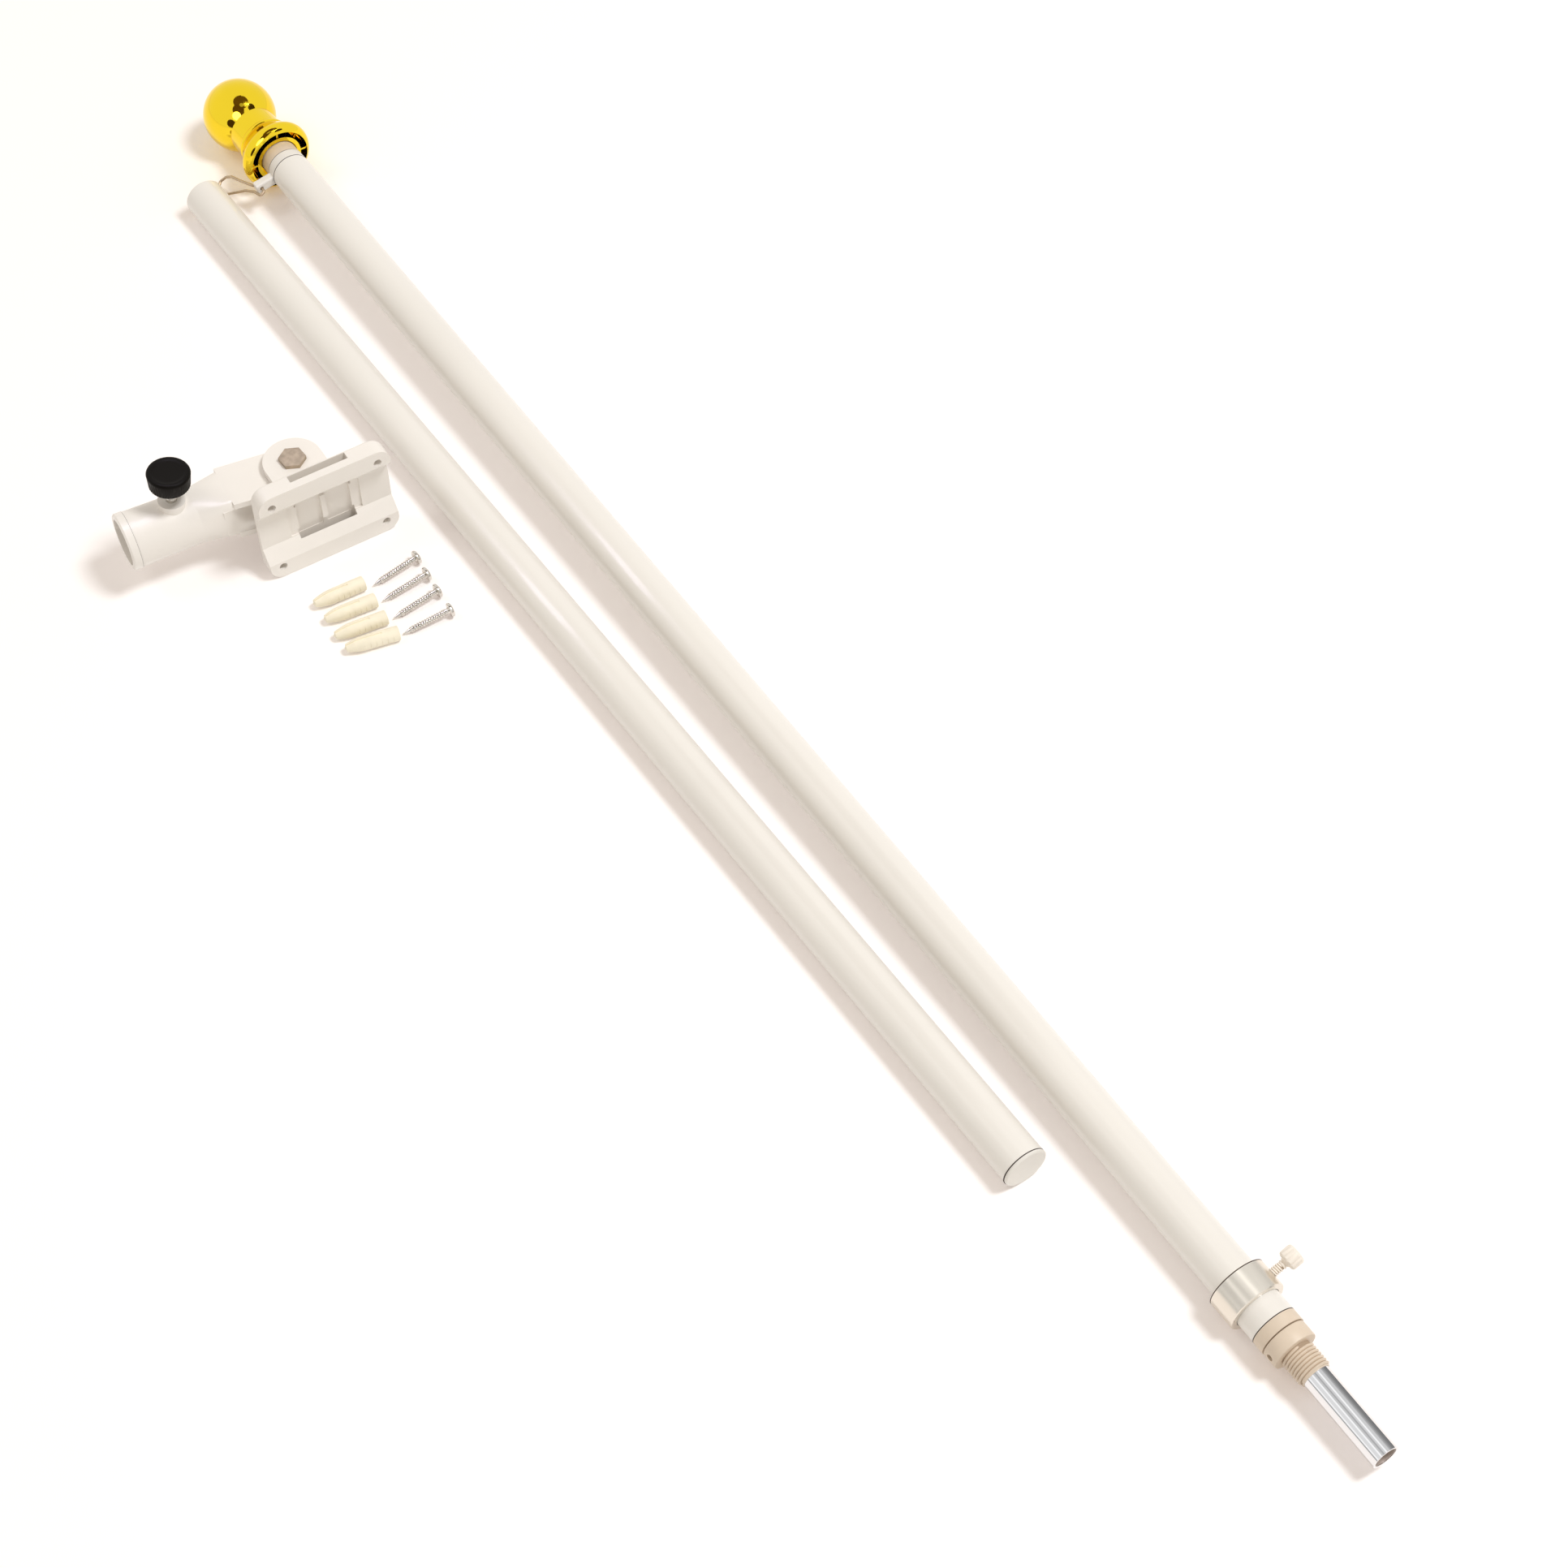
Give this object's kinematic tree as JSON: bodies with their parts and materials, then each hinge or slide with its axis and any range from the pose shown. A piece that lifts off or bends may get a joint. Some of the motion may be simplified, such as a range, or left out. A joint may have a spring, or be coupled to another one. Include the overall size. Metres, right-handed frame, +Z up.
{
  "type": "wall flagpole kit",
  "caption": "Two-section spinning flagpole laid out flat: long upper section with gold ball and sliding flag ring, plain lower section, tilting wall bracket and loose fixings.",
  "frame": {"origin": "on the floor, under the centre of the whole layout's bounding box", "axes": "+X is where the bracket's wall face looks; the upper section lies 2.5 degrees off X with its bare staff towards +X and its gold ball towards -X; the bracket is on the -Y side of both sections; +Z up from the floor"},
  "size_m": [1.1502, 0.2996, 0.0763],
  "materials": {
    "white_tube": "gloss warm white paint",
    "white_plastic": "gloss white plastic",
    "beige_plastic": "satin beige plastic",
    "gold_plastic": "bright gold plating",
    "polished_steel": "mirror polished",
    "steel_wire": "plain steel wire",
    "ring_aluminium": "satin",
    "white_casting": "gloss white powder coat",
    "zinc_steel": "zinc plated",
    "black_plastic": "satin black",
    "cream_plastic": "cream plastic"
  },
  "bodies": {
    "layout": {"outer_tube": "white_tube", "top_collar": "white_plastic", "wire_clip": "steel_wire", "finial_neck": "beige_plastic", "finial": "gold_plastic", "lower_bushing": "beige_plastic", "lower_tube": "white_tube", "lower_end_cap": "white_plastic", "joint_socket": "beige_plastic", "bracket_arm": "white_casting", "wood_screw_1": "zinc_steel", "wood_screw_2": "zinc_steel", "wood_screw_3": "zinc_steel", "wood_screw_4": "zinc_steel", "wall_plug_1": "cream_plastic", "wall_plug_2": "cream_plastic", "wall_plug_3": "cream_plastic", "wall_plug_4": "cream_plastic"},
    "staff": {"steel_staff": "polished_steel", "threaded_coupling": "beige_plastic"},
    "flag_ring": {"flag_ring": "ring_aluminium"},
    "ring_screw": {"ring_thumbscrew": "white_plastic"},
    "wall_plate": {"bracket_base": "white_casting", "pivot_bolt": "zinc_steel", "pivot_nut": "zinc_steel"},
    "knob": {"clamp_knob": "black_plastic", "knob_stud": "zinc_steel"}
  },
  "joints": [
    {"name": "staff_spin", "type": "hinge", "parent": "layout", "child": "staff", "pos_m": [0.50069, 0.11927, 0.01616], "axis": [0.999, 0.0438, -0.0075], "continuous": true},
    {"name": "ring_slide", "type": "slide", "parent": "layout", "child": "flag_ring", "axis": [-0.999, -0.0438, 0.0075], "range_m": [0, 0.93]},
    {"name": "ring_screw_turn", "type": "hinge", "parent": "flag_ring", "child": "ring_screw", "pos_m": [0.47381, 0.11809, 0.01636], "axis": [-0.0382, 0.9328, 0.3584], "continuous": true},
    {"name": "bracket_tilt", "type": "hinge", "parent": "layout", "child": "wall_plate", "pos_m": [-0.23049, -0.04326, 0.03325], "axis": [0, 0, 1], "range_deg": [0, 155]},
    {"name": "knob_turn", "type": "hinge", "parent": "layout", "child": "knob", "pos_m": [-0.23911, -0.11759, 0.03325], "axis": [0.0049, 0.087, 0.9962], "continuous": true}
  ]
}
